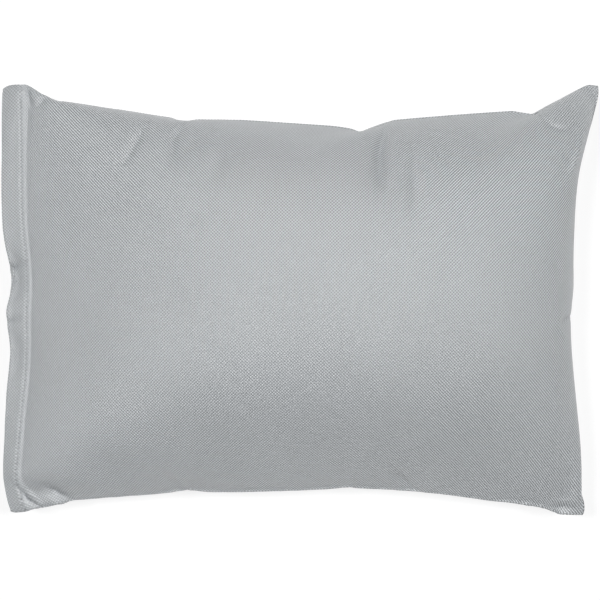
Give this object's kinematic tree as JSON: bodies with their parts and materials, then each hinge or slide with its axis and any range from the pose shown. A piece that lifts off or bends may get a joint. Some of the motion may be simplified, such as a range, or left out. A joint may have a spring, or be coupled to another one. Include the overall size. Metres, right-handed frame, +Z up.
{
  "type": "camp pillow",
  "caption": "Rectangular stuffed camp pillow in coarse woven cloth with pointed corners, turned seams on three sides and a flat topstitched closing flange on one short side.",
  "frame": {"origin": "on the surface that the pillow rests on, below the middle of its bounding box", "axes": "+X along the long side, away from the closing flange; +Y along the short side; +Z up, out of the front panel"},
  "size_m": [0.45, 0.326, 0.127],
  "materials": {
    "cover": "coarse plain weave, light blue-grey, matt",
    "thread": "spun polyester sewing thread",
    "inner_bag": "thin bonded non-woven",
    "fill": "loose crimped polyester fibre",
    "label": "blank satin tape"
  },
  "bodies": {
    "root": {"front_panel": "cover", "back_panel": "cover", "side_seam_needle_thread": "thread", "side_seam_bobbin_thread": "thread", "overlock_thread": "thread", "closing_needle_thread": "thread", "closing_bobbin_thread": "thread", "inner_bag_front": "inner_bag", "inner_bag_back": "inner_bag", "inner_bag_thread": "thread", "fibre_fill": "fill", "care_label": "label"}
  },
  "joints": []
}
